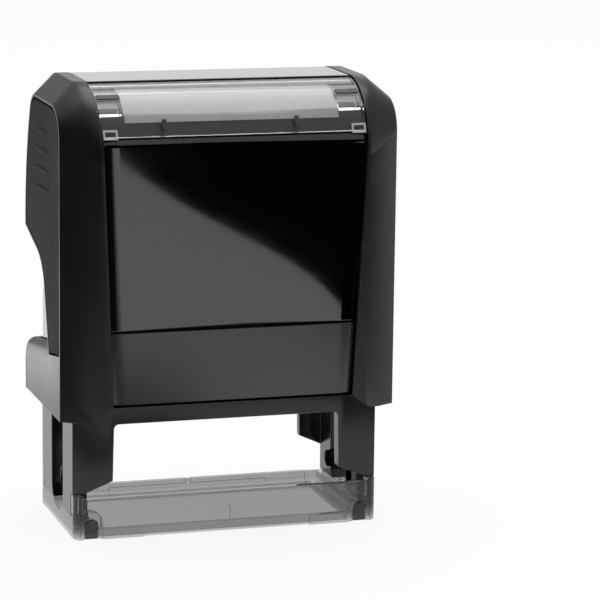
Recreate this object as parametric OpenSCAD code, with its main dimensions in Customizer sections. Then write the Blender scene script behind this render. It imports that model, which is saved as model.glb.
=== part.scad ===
// Self-inking stamp. A spring-loaded cap slides down over a frame, and a carriage in the frame turns
// half a turn on the way, so that its printing plate leaves the ink pad and meets the paper.
// The origin is under the middle of the base, +Z is up and -Y is the front.

/* [Printing plate] */
// Length of the printing plate
die_l = 47; // [38:0.5:58]
// Depth of the printing plate, front to back
die_d = 17; // [14:0.5:19]
// Thickness of the rubber plate, relief included
die_t = 1.6; // [1.3:0.1:2.2]
// Height of the relief that prints
relief_h = 0.6; // [0.3:0.1:0.9]
// Width of the printed border and bars
relief_w = 1; // [0.6:0.1:1.6]
// Thickness of the foam under the rubber
foam_t = 1; // [0.6:0.1:1.4]

/* [Turning carriage] */
// Distance from the axle to the printing face
die_reach = 7; // [6.4:0.1:7.8]
// Free length between the plate and each carriage end
die_margin = 0.6; // [0.3:0.1:1.2]
// How far the carriage plate stands out past the rubber
plate_lip = 0.5; // [0.2:0.1:0.8]
// Thickness of the carriage plate
plate_t = 1.6; // [1.2:0.1:2]
// Thickness of each carriage end
end_t = 2.4; // [1.8:0.1:3.2]
// Diameter of the hub that runs in the frame's slot
hub_d = 9; // [7:0.5:10]
// Diameter of the pin that turns in the cap
pin_d = 4; // [3:0.2:5]
// Length of the pin inside the cap's wall
pin_l = 1.8; // [1.2:0.1:2]
// Diameter of the pegs that turn the carriage over
peg_d = 2.6; // [2:0.1:3]
// Depth of the peg tracks in the frame's legs
track_depth = 1.4; // [1:0.1:1.6]

/* [Ink cartridge] */
// Thickness of the ink pad
pad_t = 3.6; // [2.6:0.2:5]
// How far the pad reaches past the printing plate, each way
pad_over = 0.8; // [0.4:0.1:1.2]
// How far the pad stands out of its tray
pad_proud = 0.6; // [0.4:0.1:1]
// Thickness of the tray's roof
tray_t = 1.4; // [1:0.1:2]
// Length of the finger grip behind the tray
tray_grip_l = 3.8; // [2.4:0.2:4]
// Width of the finger grip
tray_grip_w = 26; // [18:1:36]
// Thickness of the rails that carry the tray
rail_t = 1.6; // [1.2:0.1:2]

/* [Frame] */
// Thickness of the frame's legs
leg_t = 3.2; // [2.6:0.1:4]
// Thickness of the frame's front and back walls
frame_wall = 1.9; // [1.5:0.1:2.6]
// Height of the feet of the legs above the table
leg_foot = 4; // [3:0.5:5]
// Width of the openings in the front and back of the frame
window_w = 44.6; // [36:0.2:50]
// How much wider those openings are at the feet, on each side
window_flare = 0.5; // [0:0.1:1]
// Height of the top of those openings
window_top = 22.1; // [18:0.1:23]
// How far the frame narrows towards its top, at the front and at the back
frame_taper = 1.1; // [0:0.1:1.4]
// How far the front wall's middle stands in front of the legs' corners
panel_out = 1; // [0:0.1:1]
// Width of the flat edge beside the front opening
panel_edge = 0.7; // [0.4:0.1:2]
// Height of the corner posts' lower edge at the outside
post_low = 8.5; // [7.5:0.1:9.5]
// Height of the corner posts' lower edge at the opening
post_high = 11; // [9.5:0.1:12]
// Thickness of the deck above the ink cartridge
deck_t = 2; // [1.5:0.1:3]
// How far the legs stand above the deck
leg_over = 1.4; // [0.8:0.1:2.4]

/* [Clear base] */
// Height of the base's front wall
base_h = 8; // [6:0.1:8.2]
// Height of the base's back wall
base_back_h = 3; // [2:0.1:6]
// Thickness of the base's long walls
base_wall = 1.4; // [1:0.1:1.6]
// Width of the corner pillars beside the legs
pillar_w = 1.8; // [1.2:0.1:2.4]
// Thickness of the base's bottom rim
rim_t = 1.5; // [1:0.1:2]
// Radius of the base's upright corners
base_r = 2; // [1:0.1:3]
// Depth of the marks pressed into the base's long walls
mark_depth = 0.4; // [0.2:0.05:0.6]
// Length of the low step between the corner pockets
step_l = 33; // [20:0.5:38]
// Height of the low step
step_h = 1.9; // [1:0.1:2.5]
// Width of the arched corner pockets
pocket_w = 4.2; // [3:0.1:5]
// Height of the arched corner pockets
pocket_h = 5.4; // [4:0.1:6]
// Distance from a corner to the middle of its pocket
pocket_in = 3.4; // [2.6:0.1:4.4]
// Width of the rim round a corner pocket, on both sides together
pocket_rim = 1.5; // [1:0.1:2]
// Depth of a corner pocket
pocket_deep = 2.3; // [1:0.1:2.4]

/* [Cap] */
// Travel of the cap from rest to print
stroke = 22; // [18:0.5:26]
// Height of the cap, from its foot to its top
cap_h = 63.4; // [58:0.1:70]
// Gap under the cap's foot when it is pressed right down
cap_rest_gap = 1.4; // [0.8:0.1:2.5]
// Thickness of the cap's side walls
side_wall = 2.4; // [2.2:0.1:3]
// Thickness of the front of the cap at its shoulder
front_wall = 4.6; // [4.2:0.1:5.6]
// How far the front leans in towards its foot
front_draft = 1.3; // [0:0.1:1.4]
// How far the flat sides are set back from the front and the back
cheek_set = 5; // [4:0.1:6]
// Width of the slanted cheek, from the flat side to the middle strip
cheek_w = 7.3; // [6:0.1:9]
// Width of the cheek's flat edge beside the middle strip
cheek_edge = 0.6; // [0.5:0.1:1]
// How far the ridge beside the top stands back from the front
ridge_in = 1.85; // [1:0.05:3]
// Narrowing of the middle strip on each side, from shoulder to foot
strip_taper = 2.25; // [0:0.05:3]
// Width of the slope between the flat side and the cap's top
ridge_set = 4.4; // [3.4:0.1:5.4]
// Height of that slope
side_drop = 3.9; // [3:0.1:5]
// Radius of the front and back shoulders
shoulder_r = 14; // [11:0.5:16]
// Thickness of the back of the cap at its foot
back_wall = 1.6; // [1.2:0.1:2.2]
// Thickness of the roof over the spring
roof_t = 4.3; // [4:0.1:6]

/* [Scoop at the back] */
// Place of the scoop's arc behind the middle
scoop_y = 7.2; // [5:0.1:9]
// Height of the scoop's arc above the cap's foot
scoop_up = 20.6; // [19:0.1:23]
// Radius of the scoop's arc
scoop_r = 9.3; // [8:0.1:10]
// Tilt of the scoop's two edges
scoop_tilt = 16.4; // [10:0.1:20]
// Height of the skirt's ledge above the cap's foot, at the middle
ledge_up = 10.4; // [9:0.1:11]
// Slope of the ledge down to the back
ledge_tilt = 8.6; // [4:0.1:10]
// Rise of the ledge from its outer edge to the inside
ledge_rise = 2; // [0.5:0.1:2.6]
// Height over which the ledge rounds into the skirt's sides
ledge_round = 4; // [2:0.1:6]
// Depth of the skirt behind the middle
skirt_y = 18.4; // [18:0.1:20]
// Corner radius of the arch over the ink cartridge
arch_r = 4; // [2:0.5:5]

/* [Plates, window and grips] */
// Depth of the front and back plates below the cheeks' edges
plate_set = 0.8; // [0.4:0.1:1.2]
// Thickness of the front and back plates
cover_t = 1.4; // [1:0.1:1.6]
// Depth of the top plate below the cheeks' edges
top_set = 0.1; // [0:0.1:0.5]
// Depth of the clear window below the cheeks' edges
clear_set = 0.4; // [0.2:0.1:0.6]
// Thickness of the index card
card_t = 0.35; // [0.2:0.05:0.5]
// How far the card ends inside the strip's side edges
card_in = 6.2; // [4:0.1:9]
// Height of the card's lower edge above the window's foot
card_up = 2.2; // [1.5:0.1:5]
// Gap between the card and the top plate
card_back = 0.8; // [0.4:0.1:2]
// Distance from the middle to the top plate's front edge
top_front = 6.9; // [5:0.1:10]
// Distance from the middle to the top plate's back edge
top_back = 9; // [6:0.1:11]
// Drop of the window's foot below the top of the cap
window_drop = 9.3; // [8:0.1:11]
// Height of the groove in the front above the cap's foot
groove_up = 17.3; // [12:0.1:20]
// Width of that groove at its ends
groove_w = 0.3; // [0.2:0.05:0.6]
// Extra width of that groove at the middle
groove_arch = 0.6; // [0.1:0.1:1]
// Height of the front band's lower edge above the cap's foot
band_up = 3.2; // [2:0.1:4]
// Width of the rise from each cheek's foot to the front's lower edge
foot_rise_w = 6; // [3:0.1:6.5]
// Thickness of the side grips
grip_t = 1; // [0.8:0.1:1.2]
// Distance from a flat side's edge to its grip
grip_inset = 0.9; // [0.7:0.1:1.4]
// Width of the groove round a grip
grip_groove = 0.4; // [0.2:0.05:0.6]
// Height of the grips' lower edge above the skirt's ledge
grip_up = 0.25; // [0.1:0.05:1]
// Height of the ridges on the grips
ridge_h = 0.4; // [0.2:0.05:0.6]
// Length of the lowest ridge
ridge_l = 17.6; // [10:0.1:18]
// How much shorter the top ridge is
ridge_short = 6; // [0:0.5:7]
// Distance from one ridge to the next
ridge_pitch = 3.65; // [3:0.05:4.5]

/* [Spring] */
// Mean diameter of the return spring
spring_d = 11; // [9:0.5:13]
// Thickness of the spring's wire
wire_d = 1.2; // [0.8:0.1:1.4]
// Number of turns
turns = 8; // [5:1:10]

/* [Clearances] */
// Gap between the turning carriage and the walls round it
swing_gap = 0.5; // [0.3:0.05:0.8]
// Gap between the cap's walls and the base it slides over
slide_gap = 0.4; // [0.3:0.05:0.6]
// Gap between other pieces that move past each other
run_gap = 0.3; // [0.2:0.05:0.4]
// Radial gap of the pins in their bores
pin_gap = 0.08; // [0.05:0.01:0.1]
// Gap round plates and grips in their recesses
fit_gap = 0.15; // [0.1:0.05:0.25]
// Height of the printing face above the table at full press
print_gap = 0.3; // [0.1:0.05:0.5]

/* [Hidden] */
$fn = 48;
// Overlap of cuts with the outside, and a length that reaches past everything
over = 0.5;
far = 100;
// Thickness of the thin slices that the cap is lofted between
slice = 0.02;

// Heights
axle_low = die_reach + print_gap;
axle_z = axle_low + stroke;
foot_z = stroke + cap_rest_gap;
top_z = foot_z + cap_h;
ceiling_z = top_z - roof_t;
// Rise of the plate's edge above its rest height while it turns and sinks at a steady rate
flip_rise = max([for (a = [0:2:60]) die_d/2*sin(a) + die_reach*(cos(a) - 1) - stroke*a/180]);
pad_z = axle_z + die_reach + flip_rise + run_gap;
tray_z = pad_z + pad_proud;
cart_top = pad_z + pad_t + tray_t;
deck_z = cart_top + run_gap;
leg_top = deck_z + deck_t + leg_over;
sill_z = pad_z - run_gap;
cavity_z = leg_top + stroke + swing_gap;

// Half widths
end_in = die_l/2 + die_margin;
end_out = end_in + end_t;
leg_in = end_out + swing_gap;
leg_out = leg_in + leg_t;
base_x = leg_out;
cavity_x = base_x + slide_gap;
cap_x = cavity_x + side_wall;
strip_x = cap_x - cheek_w;
ridge_x = cap_x - ridge_set;
pad_x = die_l/2 + pad_over;
tray_x = leg_in - run_gap;
hub_x = cavity_x - run_gap;

// Half depths
swing_r = sqrt(pow(die_d/2, 2) + pow(die_reach, 2));
room_y = swing_r + swing_gap;
frame_y = room_y + frame_wall;
panel_y = frame_y + panel_out;
foot_y = room_y + run_gap;
base_y = frame_y + slide_gap + base_wall;
cavity_y = base_y + slide_gap;
cap_y = cavity_y + front_wall;
side_y = cap_y - cheek_set;
pad_y = die_d/2 + pad_over;
tray_y = room_y - run_gap;

// Levels of the carriage above its axle
plate_top = die_reach - die_t - foam_t;
plate_low = plate_top - plate_t;
rib_drop = 3;
// The pegs stay still at the ends of the travel when their circle unrolls over the stroke
peg_r = stroke/PI;
slot_r = hub_d/2 + run_gap;
strip_depth = plate_set + cover_t;
clear_t = strip_depth - clear_set - card_t - fit_gap;

// Places on the cap
front_foot_y = cap_y - front_draft;
back_foot_y = cavity_y + back_wall;
ridge_y = cap_y - ridge_in;
shoulder_y = cap_y - shoulder_r;
shoulder_z = top_z - shoulder_r;
side_top = top_z - side_drop;
side_front_r = 6.4;
side_back_r = 5;
side_sweep_r = 60;
sweep_up = 32.6;
sweep_out = 0.2;
sweep_z = foot_z + sweep_up;
sweep_y = side_y - side_sweep_r + sweep_out;
back_corner_z = side_top - side_back_r;
back_corner_y = sweep_y + sqrt(pow(side_sweep_r - side_back_r, 2) - pow(back_corner_z - sweep_z, 2));
scoop_z = foot_z + scoop_up;
ledge_z = foot_z + ledge_up;
arch_x = leg_in + slide_gap;
arch_corner = arch_r - sqrt(pow(arch_r, 2) - pow(arch_r - arch_x + tray_x, 2));
arch_top = cart_top + stroke + slide_gap + arch_corner;
back_low = arch_top + cover_t;
window_foot = top_z - window_drop;
groove_z = foot_z + groove_up;
band_z = foot_z + band_up;

// Spring
seat_gap = 0.1;
spring_low = deck_z + deck_t + seat_gap;
spring_high = ceiling_z - seat_gap;
ring_n = 6;
rings_per_turn = 8;
seat_d = spring_d*cos(180/rings_per_turn) - wire_d - 2*run_gap;
seat_h = 2.5;

// Extrudes a side view, drawn in depth and height, across the stamp
module across(w) {
    rotate([90, 0, 90])
        linear_extrude(w, center = true)
            children();
}

// Extrudes a front view, drawn in width and height, through the stamp
module through(d) {
    rotate([90, 0, 0])
        linear_extrude(d, center = true)
            children();
}

// Draws its children and their mirror image on the other side
module both_sides() {
    children();
    mirror([1, 0, 0]) children();
}

// Draws its children and their mirror image at the back
module front_and_back() {
    children();
    mirror([0, 1, 0]) children();
}

// Rectangle with round corners, centred
module round_rect(w, d, r) {
    square([w - 2*r, d], center = true);
    square([w, d - 2*r], center = true);
    for (sx = [-1, 1], sy = [-1, 1])
        translate([sx*(w/2 - r), sy*(d/2 - r)]) circle(r);
}

// Rod along the width, from one place to another
module rod(d, from, to) {
    translate([from, 0, 0])
        rotate([0, 90, 0])
            cylinder(d = d, h = to - from);
}

// Guide slot for the hub, in side view
module hub_slot(low, high) {
    translate([0, low]) circle(slot_r);
    translate([0, high]) circle(slot_r);
    translate([-slot_r, low]) square([2*slot_r, high - low]);
}

// Place of a peg in side view when the carriage has turned by an angle
function peg_at(side, a) = [side*peg_r*cos(a), axle_z - stroke*a/180 + side*peg_r*sin(a)];
// Direction across a peg's way at that angle
function peg_side(side, a) =
    let (step = peg_at(side, min(a + 3, 180)) - peg_at(side, max(a - 3, 0)))
    [-step[1], step[0]]/norm(step);

// Track of one peg, in side view
module peg_track(side) {
    w = peg_d/2 + run_gap;
    stops = [0:15:180];
    polygon(concat(
        [for (a = stops) peg_at(side, a) + w*peg_side(side, a)],
        [for (a = [180:-15:0]) peg_at(side, a) - w*peg_side(side, a)]));
    for (a = [0, 180])
        translate(peg_at(side, a)) circle(w);
}

// Flat side of the cap in side view, drawn in from its edge
module side_outline(inset, low) {
    high = side_top - inset;
    front = -side_y + inset;
    corner_z = side_top - side_front_r;
    blend = 1.5;
    translate([-side_y + side_front_r, corner_z]) circle(side_front_r - inset);
    translate([back_corner_y, back_corner_z]) circle(side_back_r - inset);
    translate([-side_y + side_front_r, back_corner_z])
        square([back_corner_y + side_y - side_front_r, high - back_corner_z]);
    translate([front, low]) square([side_y, corner_z - low]);
    intersection() {
        translate([sweep_y, sweep_z]) circle(side_sweep_r - inset, $fn = 240);
        translate([-side_y + side_front_r, sweep_z])
            square([far, back_corner_z + blend - sweep_z]);
    }
    translate([-side_y + side_front_r, low])
        square([2*side_y + sweep_out - side_front_r - inset, sweep_z - low]);
}

// Middle strip of the cap in side view, drawn in from its surface
module strip_outline(inset) {
    for (s = [-1, 1])
        translate([s*shoulder_y, shoulder_z]) circle(shoulder_r - inset, $fn = 96);
    translate([-shoulder_y, shoulder_z]) square([2*shoulder_y, shoulder_r - inset]);
    polygon([[-cap_y + inset, shoulder_z], [-front_foot_y + inset, foot_z - over],
        [back_foot_y - inset, foot_z - over], [cap_y - inset, shoulder_z]]);
}

// Middle strip in front view, narrower by a gap on each side
module strip_front(gap) {
    low_x = strip_x - strip_taper - gap;
    high_x = strip_x - gap;
    shoulder = window_foot;
    slope = strip_taper/(shoulder - foot_z);
    rise = top_z + over - shoulder;
    polygon([[-low_x, foot_z - over], [low_x, foot_z - over], [high_x + slope*rise, top_z + over],
        [-high_x - slope*rise, top_z + over]]);
}

// Layer of the middle strip between two depths, kept inside a zone in side view
module strip_layer(outer, inner, gap) {
    intersection() {
        through(far) strip_front(gap);
        across(far)
            difference() {
                intersection() {
                    strip_outline(outer);
                    children();
                }
                strip_outline(inner);
            }
    }
}

// Rectangle between two corners
module span(a, b) {
    translate(a) square(b - a);
}

// Opening cut out of the back, in side view, grown by a margin
module scoop(margin) {
    r = scoop_r + margin;
    c = [scoop_y, scoop_z];
    up = c + r*[-sin(scoop_tilt), cos(scoop_tilt)];
    front = c + r*[-cos(scoop_tilt), sin(scoop_tilt)];
    down = [-sin(scoop_tilt), -cos(scoop_tilt)];
    floor_z = ledge_z - over;
    slope = tan(ledge_tilt);
    reach = (front[1] - floor_z + slope*front[0])/(-down[1] + slope*down[0]);
    low = front + reach*down;
    translate(c) circle(r);
    polygon([up + far*[cos(scoop_tilt), sin(scoop_tilt)], up, front, low,
        [far, floor_z - slope*far]]);
}

// Loft of the cap between its middle strip, its ridge and its flat sides
module cap_loft() {
    hull() {
        across(2*(strip_x + cheek_edge))
            intersection() {
                strip_outline(0);
                translate([-far, foot_z]) square([2*far, far]);
            }
        for (s = [-1, 1]) {
            translate([s*ridge_x, 0, 0]) across(slice) ridge_outline();
            translate([s*(cap_x - slice/2), 0, 0]) across(slice) side_outline(0, foot_z);
        }
    }
}

// Cap in side view at its top ridge
module ridge_outline() {
    r = shoulder_r - ridge_in;
    for (s = [-1, 1])
        translate([s*shoulder_y, top_z - r]) circle(r);
    polygon([[-ridge_y, top_z - r], [-ridge_y + front_draft, foot_z], [back_foot_y - 1, foot_z],
        [ridge_y, top_z - r]]);
}

// Skirt round the foot of the cap, with its sloping ledge
module skirt() {
    lean = 1.1;
    tuck = 0.3;
    belly = 2.8;
    front_in = 2;
    front = side_y - front_in;
    high = ledge_z + ledge_rise;
    slope = tan(ledge_tilt);
    steps = 6;
    rim = [for (i = [0:steps]) let (a = 90*i/steps)
        [cavity_x + (cap_x - cavity_x)*cos(a), ledge_rise - ledge_round*(1 - sin(a))]];
    intersection() {
        across(2*cap_x)
            polygon([[-front, foot_z], [skirt_y - tuck, foot_z], [skirt_y, foot_z + belly],
                [skirt_y - lean, high - slope*(skirt_y - lean)], [-front, high + slope*front]]);
        translate([0, 0, ledge_z])
            rotate([-ledge_tilt, 0, 0])
                through(far)
                    polygon(concat([[-cap_x, -far], [cap_x, -far]], rim,
                        [for (i = [steps:-1:0]) [-rim[i][0], rim[i][1]]]));
        linear_extrude(far) skirt_plan();
    }
}

// Skirt seen from above, with its back corners rounded
module skirt_plan() {
    r = 3.2;
    for (s = [-1, 1])
        translate([s*(cap_x - r), skirt_y - r]) circle(r);
    translate([-cap_x, -side_y]) square([2*cap_x, side_y + skirt_y - r]);
    translate([-cap_x + r, 0]) square([2*(cap_x - r), skirt_y]);
}

// Hollow of the cap: room for the frame, and above it for the spring
module cap_hollow() {
    side_room = 2;
    spring_room = spring_d + wire_d + 2*side_room;
    translate([-cavity_x, -cavity_y, foot_z - over])
        cube([2*cavity_x, 2*cavity_y, cavity_z - foot_z + over]);
    translate([0, 0, cavity_z - over])
        cylinder(d = spring_room, h = ceiling_z - cavity_z + over);
}

// Ribs inside the cap's front that slide along the frame
module guide_ribs() {
    rib_w = 1.6;
    rib_in = 1;
    low = stroke + base_h + swing_gap;
    both_sides()
        translate([window_w/2 + rib_in, -cavity_y - over, low])
            cube([rib_w, cavity_y + over - panel_y - run_gap, cavity_z - low]);
}

// Arched way for the ink cartridge through the back of the cap, in front view
module cartridge_arch() {
    for (s = [-1, 1])
        translate([s*(arch_x - arch_r), arch_top - arch_r]) circle(arch_r);
    translate([-arch_x + arch_r, ledge_z]) square([2*(arch_x - arch_r), arch_top - ledge_z]);
    translate([-arch_x, ledge_z]) square([2*arch_x, arch_top - arch_r - ledge_z]);
}

// Places of the window's end blocks, which lift out at a slant
module window_block(gap) {
    block_w = 4.4;
    block_l = 4.4;
    block_deep = 1.2;
    block_in = 0.15;
    lean = 36;
    r = shoulder_r - strip_depth - block_deep - gap;
    both_sides()
        translate([strip_x - block_w - block_in - gap, -shoulder_y, shoulder_z])
            rotate([lean, 0, 0])
                translate([0, -block_l/2 - gap, r])
                    cube([block_w + 2*gap, block_l + 2*gap, block_deep + gap + cover_t]);
}

// Outline of a side grip in side view, above a line that follows the ledge
module grip_outline(inset) {
    slope = tan(ledge_tilt);
    low = ledge_z + grip_up + inset - grip_inset;
    difference() {
        side_outline(inset, foot_z);
        scoop(inset);
        polygon([[-far, low + slope*far], [-far, -far], [far, -far], [far, low - slope*far]]);
    }
}

module base() {
    wall_y = frame_y + slide_gap;
    pillar_x = base_x - pillar_w;
    pillar_y = foot_y + run_gap;
    print_x = end_in + die_margin;
    boss_t = wall_y - pillar_y + over;
    color([0.55, 0.56, 0.58, 0.5])
        difference() {
            union() {
                difference() {
                    linear_extrude(post_low) round_rect(2*base_x, 2*base_y, base_r);
                    translate([-leg_in, -wall_y, rim_t]) cube([2*leg_in, 2*wall_y, far]);
                    translate([-pillar_x, -wall_y, leg_foot]) cube([2*pillar_x, 2*wall_y, far]);
                    translate([-far, -pillar_y, leg_foot]) cube([2*far, 2*pillar_y, far]);
                    translate([-pillar_x, -far, base_h]) cube([2*pillar_x, far, far]);
                    translate([-pillar_x, 0, base_back_h]) cube([2*pillar_x, far, far]);
                    translate([-print_x, -room_y, -over]) cube([2*print_x, 2*room_y, far]);
                }
                both_sides()
                    translate([base_x - pocket_in, -pillar_y - boss_t/2, 0])
                        through(boss_t) pocket(pocket_w, pocket_h, 0);
            }
            across(far) hub_slot(axle_low, axle_z);
            front_and_back() base_marks();
            both_sides()
                translate([base_x - pocket_in, -base_y, 0])
                    through(2*pocket_deep) pocket(pocket_w - pocket_rim, pocket_h - pocket_rim, over);
        }
}

// Arched corner pockets, low step and middle mark in a long wall of the base
module base_marks() {
    mark_l = 3;
    mark_w = 0.8;
    both_sides()
        translate([base_x - pocket_in, -base_y, 0])
            through(2*mark_depth) pocket(pocket_w, pocket_h, over);
    translate([-step_l/2, -base_y - over, -over])
        cube([step_l, mark_depth + over, step_h + over]);
    translate([-mark_w/2, -base_y - over, step_h])
        cube([mark_w, mark_depth + over, mark_l]);
}

// Arch-topped outline that stands on the table, or reaches below it
module pocket(w, h, below) {
    translate([0, h - w/2]) circle(w/2);
    translate([-w/2, -below]) square([w, h - w/2 + below]);
}

module frame() {
    rail_x = pad_x + pad_proud;
    rail_top = tray_z - run_gap;
    color([0.09, 0.09, 0.1])
        difference() {
            union() {
                intersection() {
                    union() {
                        both_sides() {
                            translate([leg_in, -foot_y, leg_foot])
                                cube([leg_t, 2*foot_y, leg_top - leg_foot]);
                            translate([rail_x, -room_y - over, rail_top - rail_t])
                                cube([leg_in - rail_x + over, 2*(room_y + over), rail_t]);
                        }
                        intersection() {
                            through(2*far) frame_wall_front();
                            linear_extrude(far) front_wall_plan();
                        }
                        translate([0, frame_y - frame_wall/2, 0])
                            through(frame_wall) frame_wall_front();
                        translate([-leg_in - over, -frame_y, deck_z])
                            cube([2*(leg_in + over), 2*frame_y, deck_t]);
                    }
                    across(far) frame_outline();
                }
                translate([0, 0, deck_z])
                    cylinder(d = seat_d, h = deck_t + seat_h);
            }
            across(far) hub_slot(axle_low, axle_z);
            both_sides()
                for (side = [-1, 1])
                    translate([leg_in + (track_depth - over)/2, 0, 0])
                        across(track_depth + over) peg_track(side);
            translate([-leg_in, room_y - over, sill_z])
                cube([2*leg_in, far, deck_z - sill_z]);
        }
}

// Frame in side view, narrower towards its top
module frame_outline() {
    top_y = frame_y - frame_taper;
    polygon([[-panel_y, 0], [frame_y, 0], [frame_y, window_top], [top_y, leg_top],
        [-top_y, leg_top], [-panel_y, band_z]]);
}

// Front wall of the frame seen from above: a middle panel, and faces that slant back to the legs
module front_wall_plan() {
    edge_x = window_w/2 + window_flare + panel_edge;
    polygon([[-leg_out, -room_y], [-leg_out, -frame_y], [-edge_x, -panel_y], [edge_x, -panel_y],
        [leg_out, -frame_y], [leg_out, -room_y]]);
}

// Front or back wall of the frame in front view, with its opening and its slanted posts
module frame_wall_front() {
    corner = 1;
    low_x = window_w/2 + window_flare;
    pillar_x = base_x - pillar_w;
    high_z = deck_z + deck_t;
    difference() {
        polygon([[-leg_out, post_low], [-pillar_x, post_low], [-low_x, post_high],
            [low_x, post_high], [pillar_x, post_low], [leg_out, post_low],
            [leg_out, high_z], [-leg_out, high_z]]);
        polygon([[-low_x, 0], [low_x, 0], [window_w/2, window_top - corner],
            [window_w/2 - corner, window_top], [corner - window_w/2, window_top],
            [-window_w/2, window_top - corner]]);
        for (s = [-1, 1])
            translate([s*(window_w/2 - corner), window_top - corner]) circle(corner);
    }
}

// Points of the spring's tube: rings of six points along the helix
ring_count = turns*rings_per_turn + 1;
spring_rise = spring_high - spring_low - wire_d;
function coil_at(i) =
    let (a = 360*i/rings_per_turn)
    [spring_d/2*cos(a), spring_d/2*sin(a), spring_low + wire_d/2 + spring_rise*i/(ring_count - 1)];
function coil_ring(i) =
    let (a = 360*i/rings_per_turn, c = coil_at(i), step = 360/ring_n)
    [for (k = [0:ring_n - 1])
        c + wire_d/2*[cos(a)*cos(step*k), sin(a)*cos(step*k), sin(step*k)]];
echo(least_spring_gap = min([for (i = [rings_per_turn:ring_count - 1])
    norm(coil_at(i) - coil_at(i - rings_per_turn))]) - wire_d);

module spring() {
    last = (ring_count - 1)*ring_n;
    side_faces = [for (i = [0:ring_count - 2], k = [0:ring_n - 1])
        let (a = i*ring_n + k, b = i*ring_n + (k + 1)%ring_n)
        each [[a, b, a + ring_n], [b, b + ring_n, a + ring_n]]];
    low_cap = [for (k = [1:ring_n - 2]) [0, k + 1, k]];
    high_cap = [for (k = [1:ring_n - 2]) [last, last + k, last + k + 1]];
    color("silver")
        polyhedron([for (i = [0:ring_count - 1]) each coil_ring(i)],
            concat(side_faces, low_cap, high_cap));
}

module cap_shell() {
    post_h = 5;
    color([0.1, 0.1, 0.11])
        difference() {
            union() {
                difference() {
                    union() {
                        difference() {
                            cap_loft();
                            across(2*far) scoop(0);
                            translate([0, far/2, 0]) through(far) cartridge_arch();
                        }
                        skirt();
                    }
                    cap_hollow();
                }
                guide_ribs();
                translate([0, 0, ceiling_z - post_h])
                    cylinder(d = seat_d, h = post_h + over);
            }
            strip_cut();
            window_block(fit_gap);
            foot_cut();
            both_sides() {
                translate([0, 0, axle_z])
                    rod(pin_d + 2*pin_gap, cavity_x - over, cavity_x + pin_l + run_gap - pin_gap);
                translate([cap_x - grip_t/2 + over/2, 0, 0])
                    across(grip_t + over) grip_outline(grip_inset - grip_groove);
            }
        }
}

// Raised lower edge of the cap's front, with a curved rise from each cheek's foot
module foot_cut() {
    high_x = strip_x - strip_taper + fit_gap;
    rise = band_z - fit_gap - foot_z;
    steps = 6;
    bend = [for (i = [0:steps]) let (t = i/steps) [high_x + foot_rise_w*(1 - t), foot_z + rise*t*t]];
    low = [high_x + foot_rise_w, foot_z - over];
    translate([0, -far/2 - frame_y, 0])
        through(far)
            polygon(concat([[-low[0], low[1]], low], bend,
                [for (i = [steps:-1:0]) [-bend[i][0], bend[i][1]]]));
}

// Recess between the cheeks for the plates, the card and the window
module strip_cut() {
    strip_layer(-over, strip_depth, 0) {
        span([-far, foot_z - over], [over, far]);
        span([-over, back_low], [far, far]);
    }
}

module front_plate() {
    arch_curve = (pow(strip_x, 2) + pow(groove_arch, 2))/(2*groove_arch);
    low = groove_z + groove_w/2;
    color([0.02, 0.02, 0.025])
        difference() {
            strip_layer(plate_set, strip_depth, fit_gap)
                span([-far, low], [0, window_foot - fit_gap]);
            translate([0, -cap_y, low + groove_arch - arch_curve])
                rotate([90, 0, 0])
                    cylinder(r = arch_curve, h = far, center = true, $fn = 240);
        }
}

module front_band() {
    color([0.12, 0.12, 0.13])
        strip_layer(plate_set, strip_depth, fit_gap)
            span([-far, band_z], [0, groove_z - groove_w/2]);
}

module back_plate() {
    color([0.06, 0.06, 0.065])
        strip_layer(plate_set, strip_depth, fit_gap)
            span([top_back + fit_gap, back_low + fit_gap], [far, far]);
}

module top_plate() {
    color([0.03, 0.03, 0.035])
        strip_layer(top_set, strip_depth, fit_gap)
            span([-top_front, shoulder_z], [top_back, far]);
}

module index_card() {
    card_x = strip_x - card_in;
    color("white")
        intersection() {
            strip_layer(strip_depth - card_t, strip_depth, 0)
                span([-far, window_foot + card_up], [-top_front - card_back, far]);
            translate([-card_x, -far, 0]) cube([2*card_x, far, far]);
        }
}

module index_window() {
    color([0.9, 0.93, 0.95, 0.4]) {
        strip_layer(clear_set, clear_set + clear_t, fit_gap)
            span([-far, window_foot], [-top_front - fit_gap, far]);
        intersection() {
            window_block(0);
            across(far) strip_outline(clear_set + clear_t/2);
        }
    }
}

// One side grip on the +X side, with its wavy ridges
module grip() {
    ridges = 4;
    fade = 0.3;
    first_drop = 6.1;
    first = side_top - first_drop;
    translate([cap_x - grip_t/2, 0, 0]) across(grip_t) grip_outline(grip_inset);
    for (i = [0:ridges - 1])
        translate([cap_x + ridge_h/2 - over/2, 0, first - i*ridge_pitch])
            across(ridge_h + over) wave(ridge_l - ridge_short*pow(fade, i));
}

// Slightly wavy bar in side view
module wave(length) {
    half_w = 0.5;
    swing = 0.2;
    steps = 16;
    bends = [for (i = [0:steps]) let (t = i/steps) [length*(t - 0.5), swing*sin(360*t)]];
    polygon(concat([for (p = bends) p + [0, half_w]],
        [for (i = [steps:-1:0]) bends[i] - [0, half_w]]));
    for (p = [bends[0], bends[steps]])
        translate(p) circle(half_w);
}

module right_grip() {
    color([0.28, 0.28, 0.29]) grip();
}

module left_grip() {
    color([0.28, 0.28, 0.29])
        mirror([1, 0, 0]) grip();
}

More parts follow.
